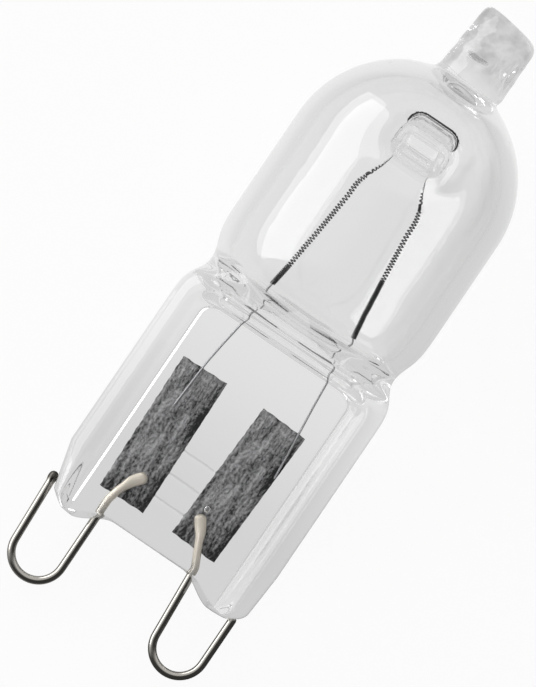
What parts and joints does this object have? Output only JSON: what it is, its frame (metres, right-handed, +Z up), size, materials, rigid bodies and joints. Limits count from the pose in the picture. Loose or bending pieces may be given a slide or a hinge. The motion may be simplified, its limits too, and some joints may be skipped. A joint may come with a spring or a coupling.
{
  "type": "halogen capsule bulb",
  "caption": "Clear halogen capsule bulb with a flat pinched foot, two wire contact loops, a coiled filament over a glass support and a sealed tip.",
  "frame": {"origin": "centre of the bounding box at the surface that the lamp lies on", "axes": "+X along the lamp towards its sealed tip, which is raised by 13 degrees as the lamp lies on its shoulder and the feet of its pinch; +Y across the pinch; +Z up, out of the pinch's visible face"},
  "size_m": [0.042, 0.0144, 0.0153],
  "materials": {
    "fused_quartz": "clear, fire polished",
    "tungsten": "dark drawn wire",
    "lead_wire": "drawn wire",
    "molybdenum_foil": "mottled, rolled",
    "contact_wire": "bright drawn wire"
  },
  "bodies": {
    "root": {"quartz_envelope": "fused_quartz", "filament_coil": "tungsten", "lead_wire_left": "lead_wire", "lead_wire_right": "lead_wire", "foil_left": "molybdenum_foil", "foil_right": "molybdenum_foil", "contact_loop_left": "contact_wire", "contact_loop_right": "contact_wire"}
  },
  "joints": []
}
